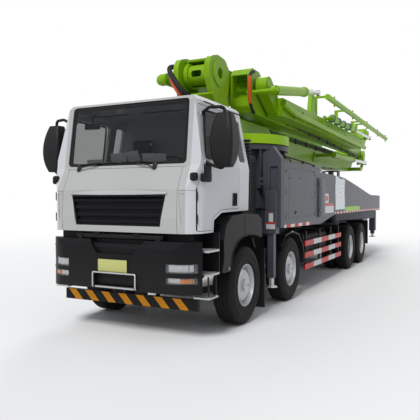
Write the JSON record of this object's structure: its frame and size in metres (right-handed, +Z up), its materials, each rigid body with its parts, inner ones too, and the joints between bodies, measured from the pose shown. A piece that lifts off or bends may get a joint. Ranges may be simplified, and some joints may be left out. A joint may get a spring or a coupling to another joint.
{
  "type": "concrete pump truck",
  "caption": "Heavy truck with steered front axles, driven rear tandem, outriggers, open hopper and a slewing, folding boom that carries a concrete delivery pipe.",
  "frame": {"origin": "on the ground under the middle of the truck's box", "axes": "+X forward, +Y to the truck's left, +Z up"},
  "size_m": [13.6808, 2.9756, 4.074],
  "materials": {
    "cab_paint": "gloss white paint",
    "deck_paint": "satin grey paint",
    "boom_paint": "gloss green paint",
    "chassis_paint": "black chassis paint",
    "black_plastic": "moulded black plastic",
    "guard_paint": "white and red painted rails",
    "wheel_paint": "silver wheel paint",
    "tyre": "rubber",
    "cab_trim": "grained trim",
    "glazing": "tinted glass",
    "jack_steel": "machined steel",
    "rod_chrome": "hard chrome"
  },
  "bodies": {
    "chassis": {"frame_rails": "chassis_paint", "front_axle_beams": "chassis_paint", "driveline": "chassis_paint", "cab_shell": "cab_paint", "windows_and_lamps": "glazing", "cab_interior": "cab_trim", "bumper": "black_plastic", "fenders": "black_plastic", "side_guards": "guard_paint", "deck_covers": "deck_paint", "subframe": "deck_paint", "hopper": "deck_paint", "tanks": "chassis_paint"},
    "left_door": {"left_door": "cab_paint"},
    "left_knuckle_1": {"left_knuckle_1": "chassis_paint"},
    "left_knuckle_2": {"left_knuckle_2": "chassis_paint"},
    "left_wheel_1": {"left_tyre_1": "tyre", "left_rim_1": "wheel_paint"},
    "left_wheel_2": {"left_tyre_2": "tyre", "left_rim_2": "wheel_paint"},
    "left_wheel_3": {"left_tyre_3": "tyre", "left_rim_3": "wheel_paint"},
    "left_wheel_4": {"left_tyre_4": "tyre", "left_rim_4": "wheel_paint"},
    "left_front_outrigger": {"left_front_outrigger": "deck_paint"},
    "left_front_jack": {"left_front_jack": "jack_steel"},
    "left_rear_outrigger": {"left_rear_outrigger": "deck_paint"},
    "left_rear_jack": {"left_rear_jack": "jack_steel"},
    "right_door": {"right_door": "cab_paint"},
    "right_knuckle_1": {"right_knuckle_1": "chassis_paint"},
    "right_knuckle_2": {"right_knuckle_2": "chassis_paint"},
    "right_wheel_1": {"right_tyre_1": "tyre", "right_rim_1": "wheel_paint"},
    "right_wheel_2": {"right_tyre_2": "tyre", "right_rim_2": "wheel_paint"},
    "right_wheel_3": {"right_tyre_3": "tyre", "right_rim_3": "wheel_paint"},
    "right_wheel_4": {"right_tyre_4": "tyre", "right_rim_4": "wheel_paint"},
    "right_front_outrigger": {"right_front_outrigger": "deck_paint"},
    "right_front_jack": {"right_front_jack": "jack_steel"},
    "right_rear_outrigger": {"right_rear_outrigger": "deck_paint"},
    "right_rear_jack": {"right_rear_jack": "jack_steel"},
    "hopper_grate": {"hopper_grate": "deck_paint"},
    "turret": {"turret": "boom_paint"},
    "arm_1": {"arm_1": "boom_paint"},
    "arm_1_barrel": {"arm_1_barrel": "boom_paint"},
    "arm_1_rod": {"arm_1_rod": "rod_chrome"},
    "arm_2": {"arm_2": "boom_paint"},
    "arm_2_barrel": {"arm_2_barrel": "boom_paint"},
    "arm_2_rod": {"arm_2_rod": "rod_chrome"},
    "arm_3": {"arm_3": "boom_paint"},
    "arm_3_barrel": {"arm_3_barrel": "boom_paint"},
    "arm_3_rod": {"arm_3_rod": "rod_chrome"},
    "arm_4": {"arm_4": "boom_paint"},
    "arm_4_barrel": {"arm_4_barrel": "boom_paint"},
    "arm_4_rod": {"arm_4_rod": "rod_chrome"},
    "arm_5": {"arm_5": "boom_paint"},
    "arm_5_barrel": {"arm_5_barrel": "boom_paint"},
    "arm_5_rod": {"arm_5_rod": "rod_chrome"}
  },
  "joints": [
    {"name": "left_door_hinge", "type": "hinge", "parent": "chassis", "child": "left_door", "pos_m": [6.65, 1.1, 1.9], "axis": [0, 0, -1], "range_deg": [0, 70]},
    {"name": "left_steer_1", "type": "hinge", "parent": "chassis", "child": "left_knuckle_1", "pos_m": [5.41, 0.905, 0.54], "axis": [0, 0, 1], "range_deg": [-36, 36]},
    {"name": "left_steer_2", "type": "hinge", "parent": "chassis", "child": "left_knuckle_2", "pos_m": [3.46, 0.905, 0.54], "axis": [0, 0, 1], "range_deg": [-22.32, 22.32]},
    {"name": "left_wheel_spin_1", "type": "hinge", "parent": "left_knuckle_1", "child": "left_wheel_1", "pos_m": [5.41, 1.065, 0.54], "axis": [0, 1, 0], "continuous": true},
    {"name": "left_wheel_spin_2", "type": "hinge", "parent": "left_knuckle_2", "child": "left_wheel_2", "pos_m": [3.46, 1.065, 0.54], "axis": [0, 1, 0], "continuous": true},
    {"name": "left_wheel_spin_3", "type": "hinge", "parent": "chassis", "child": "left_wheel_3", "pos_m": [-1.19, 1.065, 0.54], "axis": [0, 1, 0], "continuous": true},
    {"name": "left_wheel_spin_4", "type": "hinge", "parent": "chassis", "child": "left_wheel_4", "pos_m": [-2.59, 1.065, 0.54], "axis": [0, 1, 0], "continuous": true},
    {"name": "left_front_outrigger_slide", "type": "slide", "parent": "chassis", "child": "left_front_outrigger", "axis": [0.6, 0.8, 0], "range_m": [0, 1.9]},
    {"name": "left_front_jack_slide", "type": "slide", "parent": "left_front_outrigger", "child": "left_front_jack", "axis": [0, 0, -1], "range_m": [0, 0.3]},
    {"name": "left_rear_outrigger_swing", "type": "hinge", "parent": "chassis", "child": "left_rear_outrigger", "pos_m": [-1.94, 0.56, 1.26], "axis": [0, 0, -1], "range_deg": [0, 60]},
    {"name": "left_rear_jack_slide", "type": "slide", "parent": "left_rear_outrigger", "child": "left_rear_jack", "axis": [0, 0, -1], "range_m": [0, 0.54]},
    {"name": "right_door_hinge", "type": "hinge", "parent": "chassis", "child": "right_door", "pos_m": [6.65, -1.1, 1.9], "axis": [0, 0, 1], "range_deg": [0, 70]},
    {"name": "right_steer_1", "type": "hinge", "parent": "chassis", "child": "right_knuckle_1", "pos_m": [5.41, -0.905, 0.54], "axis": [0, 0, 1], "range_deg": [-30.96, 30.96]},
    {"name": "right_steer_2", "type": "hinge", "parent": "chassis", "child": "right_knuckle_2", "pos_m": [3.46, -0.905, 0.54], "axis": [0, 0, 1], "range_deg": [-19.8, 19.8]},
    {"name": "right_wheel_spin_1", "type": "hinge", "parent": "right_knuckle_1", "child": "right_wheel_1", "pos_m": [5.41, -1.065, 0.54], "axis": [0, 1, 0], "continuous": true},
    {"name": "right_wheel_spin_2", "type": "hinge", "parent": "right_knuckle_2", "child": "right_wheel_2", "pos_m": [3.46, -1.065, 0.54], "axis": [0, 1, 0], "continuous": true},
    {"name": "right_wheel_spin_3", "type": "hinge", "parent": "chassis", "child": "right_wheel_3", "pos_m": [-1.19, -1.065, 0.54], "axis": [0, 1, 0], "continuous": true},
    {"name": "right_wheel_spin_4", "type": "hinge", "parent": "chassis", "child": "right_wheel_4", "pos_m": [-2.59, -1.065, 0.54], "axis": [0, 1, 0], "continuous": true},
    {"name": "right_front_outrigger_slide", "type": "slide", "parent": "chassis", "child": "right_front_outrigger", "axis": [0.6, -0.8, 0], "range_m": [0, 1.9]},
    {"name": "right_front_jack_slide", "type": "slide", "parent": "right_front_outrigger", "child": "right_front_jack", "axis": [0, 0, -1], "range_m": [0, 0.3]},
    {"name": "right_rear_outrigger_swing", "type": "hinge", "parent": "chassis", "child": "right_rear_outrigger", "pos_m": [-1.94, -0.56, 1.26], "axis": [0, 0, 1], "range_deg": [0, 60]},
    {"name": "right_rear_jack_slide", "type": "slide", "parent": "right_rear_outrigger", "child": "right_rear_jack", "axis": [0, 0, -1], "range_m": [0, 0.54]},
    {"name": "grate_hinge", "type": "hinge", "parent": "chassis", "child": "hopper_grate", "pos_m": [-5.38, 0, 1.524], "axis": [0, 1, 0], "range_deg": [0, 85]},
    {"name": "turret_slew", "type": "hinge", "parent": "chassis", "child": "turret", "pos_m": [2.76, 0, 2.72], "axis": [0, 0, 1], "range_deg": [-135, 135]},
    {"name": "arm_1_fold", "type": "hinge", "parent": "turret", "child": "arm_1", "pos_m": [4.48, 0, 3.755], "axis": [0, 1, 0], "range_deg": [0, 88]},
    {"name": "arm_1_cylinder_swing", "type": "hinge", "parent": "turret", "child": "arm_1_barrel", "pos_m": [4.18, 0, 3.04], "axis": [0, 1, 0], "range_deg": [0, 74.65]},
    {"name": "arm_1_cylinder_slide", "type": "slide", "parent": "arm_1_barrel", "child": "arm_1_rod", "axis": [-0.9831, 0, 0.1831], "range_m": [0, 0.98221]},
    {"name": "arm_2_fold", "type": "hinge", "parent": "arm_1", "child": "arm_2", "pos_m": [-5.79, 0, 3.18], "axis": [0, -1, 0], "range_deg": [0, 180]},
    {"name": "arm_2_cylinder_swing", "type": "hinge", "parent": "arm_1", "child": "arm_2_barrel", "pos_m": [-1.19, 0.765, 2.85], "axis": [0, 1, 0], "range_deg": [0, 6.4]},
    {"name": "arm_2_cylinder_slide", "type": "slide", "parent": "arm_2_barrel", "child": "arm_2_rod", "axis": [-0.9999, 0, 0.0117], "range_m": [0, 0.67748]},
    {"name": "arm_3_fold", "type": "hinge", "parent": "arm_2", "child": "arm_3", "pos_m": [3.46, 0, 3.7], "axis": [0, 1, 0], "range_deg": [0, 180]},
    {"name": "arm_3_cylinder_swing", "type": "hinge", "parent": "arm_2", "child": "arm_3_barrel", "pos_m": [3.73, 0.99, 3.56], "axis": [0, 1, 0], "range_deg": [0, 175.01]},
    {"name": "arm_3_cylinder_slide", "type": "slide", "parent": "arm_3_barrel", "child": "arm_3_rod", "axis": [-0.9872, 0, 0.1597], "range_m": [-0.56959, 0]},
    {"name": "arm_4_fold", "type": "hinge", "parent": "arm_3", "child": "arm_4", "pos_m": [-4.79, 0, 3.76], "axis": [0, -1, 0], "range_deg": [0, 180]},
    {"name": "arm_4_cylinder_swing", "type": "hinge", "parent": "arm_3", "child": "arm_4_barrel", "pos_m": [0.21, 1.06, 3.56], "axis": [0, 1, 0], "range_deg": [0, 3.47]},
    {"name": "arm_4_cylinder_slide", "type": "slide", "parent": "arm_4_barrel", "child": "arm_4_rod", "axis": [-1, 0, 0.0084], "range_m": [0, 0.45233]},
    {"name": "arm_5_fold", "type": "hinge", "parent": "arm_4", "child": "arm_5", "pos_m": [3.06, 0, 3.48], "axis": [0, 1, 0], "range_deg": [0, 180]},
    {"name": "arm_5_cylinder_swing", "type": "hinge", "parent": "arm_4", "child": "arm_5_barrel", "pos_m": [3.33, -1.117, 3.34], "axis": [0, 1, 0], "range_deg": [0, 173.4]},
    {"name": "arm_5_cylinder_slide", "type": "slide", "parent": "arm_5_barrel", "child": "arm_5_rod", "axis": [-0.9955, 0, 0.0948], "range_m": [-0.5511, 0]}
  ],
  "couplings": [
    {"joint": "left_steer_2", "follows": "left_steer_1", "ratio": 0.62},
    {"joint": "right_steer_1", "follows": "left_steer_1", "ratio": 0.86},
    {"joint": "right_steer_2", "follows": "left_steer_1", "ratio": 0.55},
    {"joint": "arm_1_cylinder_swing", "follows": "arm_1_fold", "ratio": 0.84826},
    {"joint": "arm_1_cylinder_slide", "follows": "arm_1_fold", "m_per_rad": 0.63944},
    {"joint": "arm_2_cylinder_swing", "follows": "arm_2_fold", "ratio": 0.035546},
    {"joint": "arm_2_cylinder_slide", "follows": "arm_2_fold", "m_per_rad": 0.21562},
    {"joint": "arm_3_cylinder_swing", "follows": "arm_3_fold", "ratio": 0.97227},
    {"joint": "arm_3_cylinder_slide", "follows": "arm_3_fold", "m_per_rad": -0.18128},
    {"joint": "arm_4_cylinder_swing", "follows": "arm_4_fold", "ratio": 0.019254},
    {"joint": "arm_4_cylinder_slide", "follows": "arm_4_fold", "m_per_rad": 0.14395},
    {"joint": "arm_5_cylinder_swing", "follows": "arm_5_fold", "ratio": 0.96335},
    {"joint": "arm_5_cylinder_slide", "follows": "arm_5_fold", "m_per_rad": -0.17539}
  ]
}
